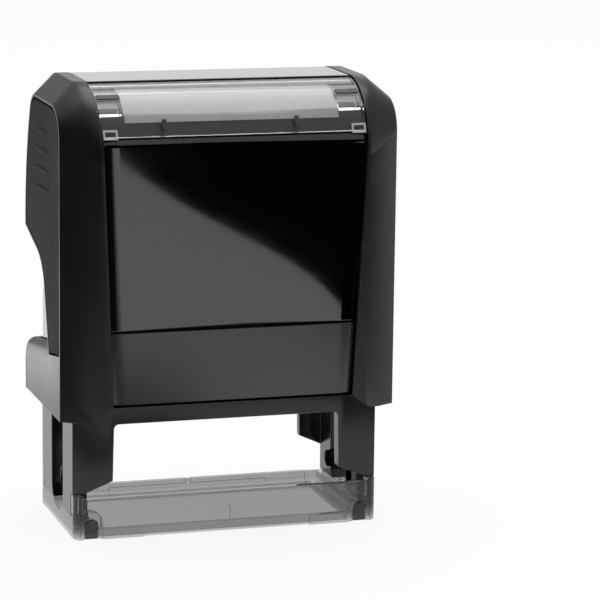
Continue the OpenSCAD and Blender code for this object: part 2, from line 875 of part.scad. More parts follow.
module carriage() {
    half_d = die_d/2 + plate_lip;
    rib_t = 1.2;
    color([0.14, 0.14, 0.15])
        translate([0, 0, axle_z]) {
            translate([-end_out, -half_d, plate_low])
                cube([2*end_out, 2*half_d, plate_t]);
            front_and_back()
                translate([-end_out, half_d - rib_t, plate_low - rib_drop])
                    cube([2*end_out, rib_t, rib_drop + over]);
            for (x = [-end_in/2, 0, end_in/2])
                translate([x - rib_t/2, -half_d, plate_low - rib_drop])
                    cube([rib_t, 2*half_d, rib_drop + over]);
            both_sides() {
                translate([(end_in + end_out)/2, 0, 0]) across(end_t) carriage_end(half_d);
                rod(hub_d, end_in + over, hub_x);
                rod(pin_d, end_in + over, cavity_x + pin_l);
                for (s = [-1, 1])
                    translate([0, s*peg_r, 0])
                        rod(peg_d, end_in + over, leg_in + track_depth - run_gap);
            }
        }
}

// Carriage end in side view: the hub, the arms of the pegs and the plate's seat
module carriage_end(half_d) {
    rim = 0.7;
    arm = peg_d/2 + rim;
    circle(d = hub_d + 2*rim);
    translate([-half_d, 0]) square([2*half_d, plate_top]);
    translate([-peg_r, -arm]) square([2*peg_r, 2*arm]);
    for (s = [-1, 1])
        translate([s*peg_r, 0]) circle(arm);
}

module die_foam() {
    color([0.75, 0.75, 0.72])
        translate([-die_l/2, -die_d/2, axle_z + plate_top])
            cube([die_l, die_d, foam_t]);
}

module rubber_die() {
    face_z = axle_z + die_reach;
    sheet_t = die_t - relief_h;
    bars = 3;
    bar_margin = 7;
    bar_step = 6;
    sink = 0.1;
    bar_l = die_l - 2*bar_margin;
    bar_pitch = (die_d - 2*relief_w)/(bars + 1);
    color([0.62, 0.2, 0.16]) {
        translate([-die_l/2, -die_d/2, face_z - die_t])
            cube([die_l, die_d, sheet_t]);
        translate([0, 0, face_z - relief_h - sink])
            linear_extrude(relief_h + sink) {
                difference() {
                    square([die_l - relief_w, die_d - relief_w], center = true);
                    square([die_l - 3*relief_w, die_d - 3*relief_w], center = true);
                }
                for (i = [0:bars - 1])
                    translate([0, (i - (bars - 1)/2)*bar_pitch])
                        square([bar_l - bar_step*i, relief_w], center = true);
            }
    }
}

module ink_tray() {
    grip_rise = 0.6;
    grip_low = tray_z + grip_rise;
    finger_r = 3;
    finger_out = 1;
    finger_end = 2.5;
    finger_l = tray_grip_w - 2*finger_end;
    color([0.16, 0.16, 0.17])
        difference() {
            union() {
                translate([-tray_x, -tray_y, tray_z])
                    cube([2*tray_x, 2*tray_y, cart_top - tray_z]);
                translate([-tray_grip_w/2, tray_y - over, grip_low])
                    cube([tray_grip_w, tray_grip_l + over, cart_top - grip_low]);
            }
            translate([-pad_x - fit_gap, -pad_y - fit_gap, tray_z - over])
                cube([2*(pad_x + fit_gap), 2*(pad_y + fit_gap), pad_t - pad_proud + over]);
            translate([0, tray_y + tray_grip_l + finger_out, cart_top + finger_out])
                rotate([0, 90, 0])
                    cylinder(r = finger_r, h = finger_l, center = true);
        }
}

module ink_pad() {
    color([0.1, 0.11, 0.2])
        translate([-pad_x, -pad_y, pad_z])
            cube([2*pad_x, 2*pad_y, pad_t]);
}

base();
frame();
spring();
cap_shell();
front_plate();
front_band();
back_plate();
top_plate();
index_card();
left_grip();
right_grip();
index_window();
carriage();
die_foam();
rubber_die();
ink_tray();
ink_pad();
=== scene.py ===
import math

import bpy
from mathutils import Matrix, Vector
from mathutils.bvhtree import BVHTree


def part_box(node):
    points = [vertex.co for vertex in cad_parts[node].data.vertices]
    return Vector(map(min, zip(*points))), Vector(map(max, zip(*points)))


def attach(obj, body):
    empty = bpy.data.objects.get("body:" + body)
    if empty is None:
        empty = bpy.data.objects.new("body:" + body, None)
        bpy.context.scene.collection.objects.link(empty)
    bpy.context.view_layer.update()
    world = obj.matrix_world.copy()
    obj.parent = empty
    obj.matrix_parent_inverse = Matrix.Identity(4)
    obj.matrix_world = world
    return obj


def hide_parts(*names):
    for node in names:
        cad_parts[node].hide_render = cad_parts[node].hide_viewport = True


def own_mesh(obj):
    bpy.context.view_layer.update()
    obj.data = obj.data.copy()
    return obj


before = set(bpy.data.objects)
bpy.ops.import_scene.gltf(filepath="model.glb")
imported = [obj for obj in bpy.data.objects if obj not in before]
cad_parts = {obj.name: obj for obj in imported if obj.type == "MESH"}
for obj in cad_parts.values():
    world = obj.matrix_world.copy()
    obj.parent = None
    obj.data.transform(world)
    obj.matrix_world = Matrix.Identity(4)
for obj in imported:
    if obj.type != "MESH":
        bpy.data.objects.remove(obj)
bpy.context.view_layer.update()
bpy.ops.object.select_all(action="DESELECT")
scene = bpy.context.scene
scene.view_settings.view_transform = "Standard"
MM = 0.001


# Shader nodes

def put(node, values):
    for name, value in values.items():
        node.inputs[name].default_value = value


def noise(tree, vector, scale, detail, rough=0.5):
    node = tree.nodes.new("ShaderNodeTexNoise")
    put(node, {"Scale": scale, "Detail": detail, "Roughness": rough})
    tree.links.new(vector, node.inputs["Vector"])
    return node


def remap(tree, value, low_in, high_in, low, high):
    node = tree.nodes.new("ShaderNodeMapRange")
    put(node, {"From Min": low_in, "From Max": high_in, "To Min": low, "To Max": high})
    tree.links.new(value, node.inputs["Value"])
    return node.outputs["Result"]


def maths(tree, operation, first, second):
    node = tree.nodes.new("ShaderNodeMath")
    node.operation = operation
    tree.links.new(first, node.inputs[0])
    tree.links.new(second, node.inputs[1])
    return node.outputs[0]


def tone_mix(tree, mask, low, high):
    node = tree.nodes.new("ShaderNodeMix")
    node.data_type = "RGBA"
    colour_in = [s for s in node.inputs if s.type == "RGBA"]
    colour_in[0].default_value = (*low, 1.0)
    colour_in[1].default_value = (*high, 1.0)
    tree.links.new(mask, node.inputs["Factor"])
    return [s for s in node.outputs if s.type == "RGBA"][0]


def bump(tree, height, distance, strength, shader):
    node = tree.nodes.new("ShaderNodeBump")
    put(node, {"Distance": distance, "Strength": strength})
    tree.links.new(height, node.inputs["Height"])
    tree.links.new(node.outputs["Normal"], shader.inputs["Normal"])


# Shader groups that several finishes share

def shared_group(name, numbers_in, masks_out):
    """Empty group that takes a place and some numbers, and gives masks."""
    tree = bpy.data.node_groups.new(name, "ShaderNodeTree")
    tree.interface.new_socket(name="Place", in_out="INPUT", socket_type="NodeSocketVector")
    for label, value in numbers_in.items():
        made = tree.interface.new_socket(name=label, in_out="INPUT", socket_type="NodeSocketFloat")
        made.default_value = value
    for label in masks_out:
        tree.interface.new_socket(name=label, in_out="OUTPUT", socket_type="NodeSocketFloat")
    return tree, tree.nodes.new("NodeGroupInput"), tree.nodes.new("NodeGroupOutput")


def spread_mask(tree, spots, low, high, target):
    """Spreads a noise between two of its values over 0 to 1."""
    tree.links.new(remap(tree, spots.outputs["Fac"], low, high, 0.0, 1.0), target)


CAP_GRAIN = 2600.0


def moulded_grain():
    """Fine spark-eroded grain, with a slow change of tone and a few handling marks."""
    tree, start, end = shared_group("moulded_grain", {"Grain Scale": CAP_GRAIN},
                                    ("Height", "Tone", "Handling"))
    place = start.outputs["Place"]
    fine = noise(tree, place, scale=CAP_GRAIN, detail=2.0)
    tree.links.new(start.outputs["Grain Scale"], fine.inputs["Scale"])
    tree.links.new(fine.outputs["Fac"], end.inputs["Height"])
    slow = noise(tree, place, scale=90.0, detail=3.0)
    spread_mask(tree, slow, 0.3, 0.7, end.inputs["Tone"])
    marks = noise(tree, place, scale=38.0, detail=5.0, rough=0.62)
    spread_mask(tree, marks, 0.48, 0.72, end.inputs["Handling"])
    return tree


def polish_marks():
    """Faint wipes and dust on polished plastic."""
    tree, start, end = shared_group("polish_marks", {}, ("Wipes", "Dust"))
    stretch = tree.nodes.new("ShaderNodeMapping")
    put(stretch, {"Scale": (0.35, 1.0, 1.6), "Rotation": (0.0, 0.5, 0.0)})
    tree.links.new(start.outputs["Place"], stretch.inputs["Vector"])
    wipes = noise(tree, stretch.outputs["Vector"], scale=70.0, detail=4.0, rough=0.6)
    spread_mask(tree, wipes, 0.4, 0.75, end.inputs["Wipes"])
    dust = noise(tree, start.outputs["Place"], scale=1500.0, detail=1.0)
    spread_mask(tree, dust, 0.72, 0.8, end.inputs["Dust"])
    return tree


GRAIN = moulded_grain()
MARKS = polish_marks()


# Finishes

def grey(v, tint=0.0):
    return (v, v, v * (1.0 + tint))


def new_finish(name):
    finish = bpy.data.materials.new(name)
    finish.use_nodes = True
    tree = finish.node_tree
    return finish, tree, tree.nodes["Principled BSDF"]


def own_place(tree):
    return tree.nodes.new("ShaderNodeTexCoord").outputs["Object"]


def add_group(tree, made):
    node = tree.nodes.new("ShaderNodeGroup")
    node.node_tree = made
    tree.links.new(own_place(tree), node.inputs["Place"])
    return node


def colour_and_rough(tree, shader, tone, low, high, wear, rough, worn):
    """Lets one mask set the colour and another the roughness."""
    tree.links.new(tone_mix(tree, tone, low, high), shader.inputs["Base Color"])
    tree.links.new(remap(tree, wear, 0.0, 1.0, rough, worn), shader.inputs["Roughness"])


def moulded(name, low, high, rough, spread, grain, depth, level=0.5):
    """Moulded plastic or rubber with its spark-eroded grain."""
    finish, tree, shader = new_finish(name)
    skin = add_group(tree, GRAIN)
    put(skin, {"Grain Scale": grain})
    colour_and_rough(tree, shader, skin.outputs["Tone"], low, high,
                     skin.outputs["Handling"], rough, rough - spread)
    bump(tree, skin.outputs["Height"], depth, 0.5, shader)
    put(shader, {"Specular IOR Level": level})
    return finish


def polished(name, low, high, rough, spread, ior):
    """Polished black plastic with faint wipes and dust."""
    finish, tree, shader = new_finish(name)
    marks = add_group(tree, MARKS)
    colour_and_rough(tree, shader, marks.outputs["Dust"], low, high,
                     marks.outputs["Wipes"], rough, rough + spread)
    put(shader, {"IOR": ior, "Specular Tint": (0.96, 0.95, 1.0, 1.0)})
    return finish


def clear(name, low, high, rough, spread, ior, smoke=0.0):
    """See-through plastic, tinted, with faint wipes, and darker where it is thick."""
    finish, tree, shader = new_finish(name)
    marks = add_group(tree, MARKS)
    colour_and_rough(tree, shader, marks.outputs["Wipes"], low, high,
                     marks.outputs["Wipes"], rough, rough + spread)
    put(shader, {"Transmission Weight": 1.0, "IOR": ior})
    if smoke:
        soak = tree.nodes.new("ShaderNodeVolumeAbsorption")
        put(soak, {"Color": (0.03, 0.03, 0.035, 1.0), "Density": smoke})
        tree.links.new(soak.outputs["Volume"], tree.nodes["Material Output"].inputs["Volume"])
    return finish


def drawn_wire(name):
    """Drawn steel wire with a fine grain on it."""
    finish, tree, shader = new_finish(name)
    skin = add_group(tree, GRAIN)
    put(skin, {"Grain Scale": 5000.0})
    colour_and_rough(tree, shader, skin.outputs["Tone"], grey(0.5), grey(0.62),
                     skin.outputs["Handling"], 0.28, 0.4)
    put(shader, {"Metallic": 1.0})
    bump(tree, skin.outputs["Height"], 0.02 * MM, 0.4, shader)
    return finish


BLACK_MATTE = moulded("black_matte", grey(0.005, 0.08), grey(0.008, 0.08),
                      rough=0.36, spread=0.06, grain=CAP_GRAIN, depth=0.03 * MM)
FRAME_BLACK = moulded("frame_black", grey(0.005, 0.08), grey(0.008, 0.08),
                      rough=0.2, spread=0.05, grain=CAP_GRAIN, depth=0.01 * MM)
CARRIAGE_BLACK = moulded("carriage_black", grey(0.014), grey(0.02),
                         rough=0.5, spread=0.1, grain=2200.0, depth=0.04 * MM)
TRAY_BLACK = moulded("tray_black", grey(0.016), grey(0.024),
                     rough=0.45, spread=0.1, grain=2200.0, depth=0.04 * MM)
DARK_GREY = moulded("dark_grey", grey(0.014, 0.06), grey(0.018, 0.06),
                    rough=0.22, spread=0.05, grain=2800.0, depth=0.01 * MM, level=0.8)
SOFT_GRIP = moulded("soft_grip", grey(0.022, 0.02), grey(0.026, 0.02),
                    rough=0.75, spread=0.12, grain=1500.0, depth=0.12 * MM, level=0.1)
BLACK_GLOSS = polished("black_gloss", grey(0.001), grey(0.01), rough=0.04, spread=0.03, ior=1.84)
SMOKE = clear("smoke_clear", grey(0.4, 0.02), grey(0.37, 0.02),
              rough=0.04, spread=0.06, ior=1.49, smoke=170.0)
# Darker smoke for the pocket plugs: painted shade for the dark seen deep in the base's front
# pockets.
PLUG_SMOKE_PAINTED_SHADE = clear("plug_smoke_painted_shade", grey(0.1), grey(0.08),
                   rough=0.06, spread=0.06, ior=1.49, smoke=300.0)
WINDOW = clear("clear_window", grey(0.93), grey(0.9), rough=0.02, spread=0.04, ior=1.47)
RUBBER = moulded("stamp_rubber", (0.33, 0.045, 0.03), (0.38, 0.06, 0.04),
                 rough=0.7, spread=0.12, grain=900.0, depth=0.06 * MM, level=0.4)
FOAM = moulded("foam", (0.6, 0.6, 0.55), (0.7, 0.7, 0.65),
               rough=0.9, spread=0.05, grain=700.0, depth=0.2 * MM, level=0.2)
INK_FELT = moulded("ink_felt", (0.008, 0.01, 0.03), (0.016, 0.02, 0.05),
                   rough=0.55, spread=0.2, grain=1800.0, depth=0.3 * MM)
FROSTED = moulded("frosted_rim", grey(0.42), grey(0.5),
                  rough=0.3, spread=0.08, grain=CAP_GRAIN, depth=0.01 * MM)
CARD = moulded("white_card", grey(0.66), grey(0.69),
               rough=0.85, spread=0.05, grain=1200.0, depth=0.002 * MM, level=0.25)
SPRING_WIRE = drawn_wire("spring_wire")


# Steps of work that several pieces share

def only(piece):
    bpy.ops.object.select_all(action="DESELECT")
    piece.select_set(True)
    bpy.context.view_layer.objects.active = piece


def edit_all():
    bpy.ops.object.mode_set(mode="EDIT")
    bpy.ops.mesh.select_all(action="SELECT")


def done():
    bpy.ops.object.mode_set(mode="OBJECT")


def turn_out():
    """Turns all faces outwards and leaves edit mode."""
    bpy.ops.mesh.select_all(action="SELECT")
    bpy.ops.mesh.normals_make_consistent(inside=False)
    done()


def settle():
    """Brings the new primitive to the origin, unscaled."""
    bpy.ops.object.transform_apply(location=True, rotation=True, scale=True)
    return bpy.context.active_object


def name_piece(piece, name):
    piece.name = name
    piece.data.name = name


def pick(piece, items, mode, wanted):
    """Leaves edit mode on, with only the wanted points, edges or faces selected."""
    only(piece)
    bpy.context.tool_settings.mesh_select_mode = mode
    bpy.ops.object.mode_set(mode="EDIT")
    bpy.ops.mesh.select_all(action="DESELECT")
    done()
    for item in items:
        item.select = wanted(item)
    bpy.ops.object.mode_set(mode="EDIT")


def pick_points(piece, wanted):
    pick(piece, piece.data.vertices, (True, False, False), wanted)


def pick_edges(piece, wanted):
    pick(piece, piece.data.edges, (False, True, False), wanted)


def pick_faces(piece, wanted):
    pick(piece, piece.data.polygons, (False, False, True), wanted)


def shift(move):
    """Moves what is selected and leaves edit mode."""
    bpy.ops.transform.translate(value=move)
    done()


def fair_copy(node):
    """Copy of a CAD node with its triangles joined and its flat faces made whole."""
    weld, flat = 0.002 * MM, math.radians(0.6)
    only(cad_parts[node])
    bpy.ops.object.duplicate()
    piece = bpy.context.active_object
    name_piece(piece, "finished_" + node)
    piece.parent = None
    for key in list(piece.keys()):
        del piece[key]
    edit_all()
    bpy.ops.mesh.remove_doubles(threshold=weld)
    bpy.ops.mesh.dissolve_limited(angle_limit=flat)
    done()
    return piece


def ease_edges(piece, width, steps=2, angle=32.0):
    """Rounds the sharp edges and shades the curves smooth."""
    only(piece)
    edge = piece.modifiers.new("edge", "BEVEL")
    edge.width = width
    edge.segments = steps
    edge.limit_method = "ANGLE"
    edge.angle_limit = math.radians(angle)
    edge.use_clamp_overlap = False
    edge.miter_outer = "MITER_ARC"
    bpy.ops.object.modifier_apply(modifier="edge")
    bpy.ops.object.shade_smooth_by_angle(angle=math.radians(angle))
    even = piece.modifiers.new("even", "WEIGHTED_NORMAL")
    even.keep_sharp = True
    bpy.ops.object.modifier_apply(modifier="even")


def pull_in(piece, node, reach):
    """Brings back any corner that easing threw off the solid's surface."""
    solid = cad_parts[node]
    skin = BVHTree.FromPolygons([solid.matrix_world @ v.co for v in solid.data.vertices],
                                [face.vertices for face in solid.data.polygons])
    for point in piece.data.vertices:
        spot, _, _, away = skin.find_nearest(point.co)
        if away > reach:
            point.co = spot


def dress(piece, finish, slot, body, *nodes):
    piece.data.materials.clear()
    piece.data.materials.append(finish)
    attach(piece, body)
    if nodes:
        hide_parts(*nodes)


# The pieces

def plain_pieces():
    """Pieces that keep their CAD form, with their edges eased."""
    stray = 1.5
    # node, finish, slot, body, width of the eased edge in mm
    todo = [
        ("frame", FRAME_BLACK, "black_matte", "frame", 0.2),
        ("back_plate", BLACK_GLOSS, "black_gloss", "cap", 0.2),
        ("top_plate", BLACK_GLOSS, "black_gloss", "cap", 0.2),
        ("base", SMOKE, "smoke_clear", "frame", 0.15),
        ("index_window", WINDOW, "clear_window", "window", 0.12),
        ("carriage", CARRIAGE_BLACK, "carriage_black", "die_carriage", 0.15),
        ("rubber_die", RUBBER, "stamp_rubber", "die_carriage", 0.08),
        ("ink_tray", TRAY_BLACK, "tray_black", "ink_cartridge", 0.2),
    ]
    for node, finish, slot, body, width in todo:
        piece = fair_copy(node)
        ease_edges(piece, width * MM)
        pull_in(piece, node, stray * width * MM)
        dress(piece, finish, slot, body, node)


def index_card():
    """Card under the window, drawn out to reach the window's clips."""
    piece = fair_copy("index_card")
    _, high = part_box("index_card")
    reach, near_end = 20.8 * MM, 2.0 * MM
    for side in (-1, 1):
        pick_points(piece, lambda p: side * p.co.x > high.x - near_end)
        shift((side * (reach - high.x), 0, 0))
    ease_edges(piece, 0.03 * MM)
    dress(piece, CARD, "white_card", "cap", "index_card")


def window_bits():
    """Square loops at the window's foot, dark plates of painted shade above its clips and ticks
    below the card.
    """
    window = bpy.data.objects["finished_index_window"]
    skin = BVHTree.FromPolygons([v.co for v in window.data.vertices],
                                [face.vertices for face in window.data.polygons])
    front, sunk, rim, edge = -40.0 * MM, 0.12 * MM, 0.4 * MM, 0.1 * MM
    # slot sets the size of the dark plates of painted shade above the clips, not a real slot.
    loop, tick, slot = (2.8 * MM, 1.9 * MM), (0.9 * MM, 2.2 * MM), (4.4 * MM, 1.3 * MM)
    # kind, left and right place and height in mm, size, finish
    todo = [
        ("window_loop", -24.1, 24.1, 78.1, loop, FROSTED),
        # Dark plates of painted shade, standing in for the shade on top of the clear clips.
        ("window_painted_shade", -23.3, 23.3, 84.45, slot, TRAY_BLACK),
        ("window_tick", -13.6, 12.1, 79.7, tick, DARK_GREY),
    ]
    placed = [(side + kind, x * MM, z * MM, size, finish)
              for kind, left_x, right_x, z, size, finish in todo
              for side, x in (("left_", left_x), ("right_", right_x))]
    for name, x, z, size, finish in placed:
        spot, out, _, _ = skin.ray_cast(Vector((x, front, z)), Vector((0, 1, 0)))
        bpy.ops.object.select_all(action="DESELECT")
        bpy.ops.mesh.primitive_plane_add(size=1.0, location=spot - out * sunk,
                                         rotation=(math.atan2(-out.y, out.z), 0, 0))
        bpy.ops.transform.resize(value=(*size, 1.0), orient_type="LOCAL")
        bit = settle()
        name_piece(bit, name)
        edit_all()
        if size is loop:
            bpy.ops.mesh.inset(thickness=rim)
            bpy.ops.mesh.delete(type="FACE")
            bpy.ops.mesh.select_all(action="SELECT")
        bpy.ops.mesh.extrude_region_move(TRANSFORM_OT_translate={"value": out * 2 * sunk})
        turn_out()
        ease_edges(bit, edge, 3)
        dress(bit, finish, "clear_window", "window")


def pocket_plugs():
    """Arched plugs of darker smoke than the base in its two front corner pockets; their dark is
    painted shade for the dark seen deep in the pockets.
    """
    low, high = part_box("base")
    wide, tall, deep = 2.5 * MM, 3.7 * MM, 1.4 * MM
    set_back, lift, corner_in = 0.5 * MM, 0.1 * MM, 3.4 * MM
    arch, arch_steps, level = 0.46 * wide, 6, 0.1 * MM
    for side, name in ((-1, "left_pocket_plug"), (1, "right_pocket_plug")):
        bpy.ops.object.select_all(action="DESELECT")
        bpy.ops.mesh.primitive_cube_add(size=1.0, location=(
            side * (high.x - corner_in), low.y + set_back + deep / 2, lift + tall / 2))
        bpy.ops.transform.resize(value=(wide, deep, tall))
        plug = settle()
        name_piece(plug, name)
        points = plug.data.vertices

        def on_top_side(edge):
            one, two = (points[i].co for i in edge.vertices)
            return one.z > tall and two.z > tall and abs(one.x - two.x) < level

        pick_edges(plug, on_top_side)
        bpy.ops.mesh.bevel(offset=arch, segments=arch_steps)
        done()
        ease_edges(plug, 0.12 * MM)
        dress(plug, PLUG_SMOKE_PAINTED_SHADE, "smoke_clear", "frame")


def cap_cover():
    """Cap shell whose long front cheeks are cut into strips, so that each is one soft twist."""
    piece = fair_copy("cap_shell")
    first, last, step = 30.0 * MM, 72.0 * MM, 3.0 * MM
    inner_x, outer_x, strip_h, slack = 26.5 * MM, 32.8 * MM, 0.5 * MM, 0.1 * MM

    def on_cheek(face):
        return (0.4 < abs(face.normal.x) < 0.7 and face.normal.y < -0.7
                and abs(face.normal.z) < 0.06 and abs(face.center.x) > 0.9 * inner_x)

    height = first
    while height <= last:
        pick_faces(piece, on_cheek)
        bpy.ops.mesh.bisect(plane_co=(0, 0, height), plane_no=(0, 0, 1))
        done()
        height += step
    cheek = {i for face in piece.data.polygons if on_cheek(face) for i in face.vertices}
    points = piece.data.vertices

    def on_fold(edge):
        ends = [points[i] for i in edge.vertices]
        return (all(p.index in cheek for p in ends)
                and abs(ends[0].co.z - ends[1].co.z) > strip_h
                and any(inner_x < abs(p.co.x) < outer_x for p in ends)
                and min(p.co.z for p in ends) > first - slack)

    pick_edges(piece, on_fold)
    bpy.ops.mesh.dissolve_edges(use_verts=True)
    done()
    # The tiny step where the rounded ledge meets the skirt's side is closed
    side_x, step_low, step_high, step_in = 32.9 * MM, 29.4 * MM, 33.4 * MM, 0.07 * MM
    pick_points(piece, lambda p: abs(p.co.x) > side_x and step_low < p.co.z < step_high)
    bpy.ops.mesh.remove_doubles(threshold=step_in)
    done()
    ease_edges(piece, 0.07 * MM, angle=40.0)
    pull_in(piece, "cap_shell", 0.8 * MM)
    dress(piece, BLACK_MATTE, "black_matte", "cap", "cap_shell")


def turn_shoulder_late(piece, low, high):
    """Draws the plate's flat face up, so that its shoulder turns back only near the top."""
    bend_z, turn_z, lean = 72.75 * MM, 75.6 * MM, -0.026
    skin_back, skin_lean, top_rim, flat = 1.1 * MM, 0.1, 0.05 * MM, math.radians(1.5)
    front = [p for p in piece.data.vertices if p.co.z > bend_z
             and p.co.y < low.y + skin_back + skin_lean * (p.co.z - bend_z)]
    top_y = min(p.co.y for p in front if p.co.z > high.z - top_rim)
    drop = top_y - low.y - lean * (high.z - bend_z)
    moves = {}
    for point in front:
        late = max(0.0, (point.co.z - turn_z) / (high.z - turn_z))
        goal = low.y + lean * (point.co.z - bend_z) + drop * late ** 2
        moves[point.index] = goal - point.co.y
    for index, move in moves.items():
        pick_points(piece, lambda p: p.index == index)
        shift((0, move, 0))
    edit_all()
    bpy.ops.mesh.dissolve_limited(angle_limit=flat)
    done()


def rolled_plate(node, finish, slot, late_turn=False):
    """Front plate whose side edges roll back softly."""
    piece = fair_copy(node)
    low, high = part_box(node)
    if late_turn:
        turn_shoulder_late(piece, low, high)
    reach, depth, lines = 3.0 * MM, 0.35 * MM, 6
    near_end, slack, facing = 0.5 * MM, 0.02 * MM, -0.2
    points = piece.data.vertices
    top_x = max(p.co.x for p in points if p.co.z > high.z - near_end)
    low_x = max(p.co.x for p in points if p.co.z < low.z + near_end)
    slope = (top_x - low_x) / (high.z - low.z)
    for side in (-1, 1):
        for i in range(lines):
            into = reach * (1 - i / lines)
            only(piece)
            edit_all()
            bpy.ops.mesh.bisect(plane_co=(side * (low_x - into), 0, low.z),
                                plane_no=(1, 0, -side * slope))
            done()
    for side in (-1, 1):
        for i in range(1, lines + 1):
            into = reach * (1 - i / lines)
            step = depth * ((i / lines) ** 2 - ((i - 1) / lines) ** 2)
            pick_points(piece, lambda p: p.normal.y < facing and
                        side * p.co.x > low_x + slope * (p.co.z - low.z) - into - slack)
            shift((0, step, 0))
    ease_edges(piece, 0.15 * MM, angle=28.0)
    dress(piece, finish, slot, "cap", node)


def cushion(node, finish, slot, body, crown):
    """Soft pad grown from a block, with rounded corners and its lower face crowned."""
    low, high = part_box(node)
    cuts, rounds, rim = 7, 2, 0.1 * MM
    bpy.ops.object.select_all(action="DESELECT")
    bpy.ops.mesh.primitive_cube_add(size=1.0, location=(low + high) / 2)
    bpy.ops.transform.resize(value=high - low)
    piece = settle()
    name_piece(piece, "finished_" + node)
    edit_all()
    bpy.ops.mesh.subdivide(number_cuts=cuts)
    done()
    pick_points(piece, lambda p: p.co.z < low.z + rim and not (
        low.x + rim < p.co.x < high.x - rim and low.y + rim < p.co.y < high.y - rim))
    shift((0, 0, crown))
    soft = piece.modifiers.new("soft", "SUBSURF")
    soft.levels = rounds
    soft.render_levels = rounds
    bpy.ops.object.modifier_apply(modifier="soft")
    bpy.ops.object.shade_smooth()
    dress(piece, finish, slot, body, node)


def wavy_ridge(x, z, length, swing, thick):
    """Slightly wavy bar that thins out to both ends, drawn out ring by ring."""
    sides, steps, round_end = 14, 28, 0.6

    def girth(i):
        return math.sqrt(math.sin(math.pi * (i + round_end) / (steps + 2 * round_end)))

    bpy.ops.object.select_all(action="DESELECT")
    bpy.ops.mesh.primitive_circle_add(vertices=sides, radius=girth(0) * thick / 2,
                                      fill_type="NGON", location=(x, -length / 2, z),
                                      rotation=(math.pi / 2, 0, 0))
    piece = settle()
    edit_all()
    rise = 0.0
    for i in range(1, steps + 1):
        wave = swing * math.sin(2 * math.pi * i / steps)
        bpy.ops.mesh.extrude_region_move(
            TRANSFORM_OT_translate={"value": (0, length / steps, wave - rise)})
        rise = wave
        grow = girth(i) / girth(i - 1)
        bpy.ops.transform.resize(value=(grow, 1, grow),
                                 center_override=(x, length * (i / steps - 0.5), z + rise))
    turn_out()
    bpy.ops.object.shade_smooth_by_angle(angle=math.radians(60))
    return piece


def side_grip(side):
    """Soft grip drawn out from the back of the CAD outline, with its ridges, the top one short."""
    node = "left_grip" if side < 0 else "right_grip"
    piece = fair_copy(node)
    low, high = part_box(node)
    back_x, out_x = (high.x, low.x) if side < 0 else (low.x, high.x)
    ridge_h, sunk, near = 0.4 * MM, 0.42 * MM, 0.05 * MM
    face_x = out_x - side * ridge_h
    pick_faces(piece, lambda face: not (abs(face.center.x - back_x) < near
                                        and abs(face.normal.x) > 0.9))
    bpy.ops.mesh.delete(type="FACE")
    bpy.ops.mesh.select_all(action="SELECT")
    bpy.ops.mesh.extrude_region_move(TRANSFORM_OT_translate={"value": (face_x - back_x, 0, 0)})
    turn_out()
    ease_edges(piece, 0.15 * MM, 3)
    first_z, pitch, bars = high.z - 5.4 * MM, 3.65 * MM, 4
    long, short, fade = 18.6 * MM, 5.4 * MM, 0.3
    swing, thick = 0.16 * MM, 1.5 * MM
    made = [wavy_ridge(face_x - side * sunk, first_z - i * pitch, long - short * fade ** i,
                       swing, thick)
            for i in range(bars)]
    only(piece)
    for bar in made:
        bar.select_set(True)
    bpy.ops.object.join()
    dress(piece, SOFT_GRIP, "soft_grip", "cap", node)


def return_spring():
    """Coil of round wire, wound from one ring."""
    low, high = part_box("spring")
    wire, sides, turns, steps = 0.6 * MM, 14, 8, 28
    mean = (high.x - low.x) / 2 - wire
    rise = high.z - low.z - 2 * wire
    bpy.ops.object.select_all(action="DESELECT")
    bpy.ops.mesh.primitive_circle_add(vertices=sides, radius=wire,
                                      location=(mean, 0, low.z + wire),
                                      rotation=(math.pi / 2, 0, 0))
    coil = settle()
    name_piece(coil, "return_spring")
    wind = coil.modifiers.new("wind", "SCREW")
    wind.axis = "Z"
    wind.angle = 2 * math.pi
    wind.screw_offset = rise / turns
    wind.iterations = turns
    wind.steps = steps
    wind.render_steps = steps
    wind.use_merge_vertices = False
    bpy.ops.object.modifier_apply(modifier="wind")
    bpy.ops.object.mode_set(mode="EDIT")
    bpy.ops.mesh.select_all(action="DESELECT")
    bpy.ops.mesh.select_mode(type="EDGE")
    bpy.ops.mesh.select_non_manifold(extend=False, use_boundary=True, use_wire=False,
                                     use_multi_face=False, use_non_contiguous=False,
                                     use_verts=False)
    bpy.ops.mesh.edge_face_add()
    turn_out()
    bpy.ops.object.shade_smooth_by_angle(angle=math.radians(40))
    dress(coil, SPRING_WIRE, "spring_wire", "frame", "spring")
    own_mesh(coil)


plain_pieces()
index_card()
window_bits()
pocket_plugs()
cap_cover()
rolled_plate("front_plate", BLACK_GLOSS, "black_gloss", late_turn=True)
rolled_plate("front_band", DARK_GREY, "dark_grey")
cushion("ink_pad", INK_FELT, "ink_felt", "ink_cartridge", 0.25 * MM)
cushion("die_foam", FOAM, "foam", "die_carriage", 0.0)
side_grip(-1)
side_grip(1)
return_spring()


# Floor, cards, lamps and camera

def seen_rays(tree):
    """Light path, with a mask of the rays that come from the camera, gloss and clear plastic."""
    rays = tree.nodes.new("ShaderNodeLightPath").outputs
    seen = maths(tree, "MAXIMUM", rays["Is Camera Ray"], rays["Is Glossy Ray"])
    return rays, maths(tree, "MAXIMUM", seen, rays["Is Transmission Ray"])


